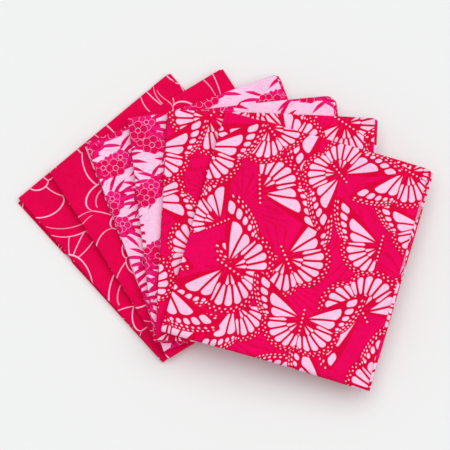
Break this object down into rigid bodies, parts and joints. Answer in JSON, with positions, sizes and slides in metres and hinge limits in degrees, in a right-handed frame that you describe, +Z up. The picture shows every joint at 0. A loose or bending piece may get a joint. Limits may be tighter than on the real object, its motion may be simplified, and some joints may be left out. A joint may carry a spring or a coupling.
{
  "type": "fat quarter bundle",
  "caption": "Fanned stack of folded cotton quilting cloths in crimson, pale pink and red prints, laid on each other about one near corner.",
  "frame": {"origin": "on the surface that the stack lies on, under the middle of the whole fan", "axes": "+Z up out of the surface, +X to the right along the fan's longest side, +Y away from the near corner that the fan opens about"},
  "size_m": [0.2698, 0.2177, 0.027],
  "materials": {
    "crimson_line_print": "matt plain-weave cotton, crimson with thin pale line flowers",
    "pink_blossom_print": "matt plain-weave cotton, pale pink with crimson blossoms and leaves",
    "red_wing_print": "matt plain-weave cotton, red and magenta with pale butterfly wings"
  },
  "bodies": {
    "root": {"fat_quarter_1": "crimson_line_print", "fat_quarter_2": "crimson_line_print", "fat_quarter_3": "pink_blossom_print", "fat_quarter_4": "pink_blossom_print", "fat_quarter_5": "red_wing_print", "fat_quarter_6": "red_wing_print"}
  },
  "joints": []
}
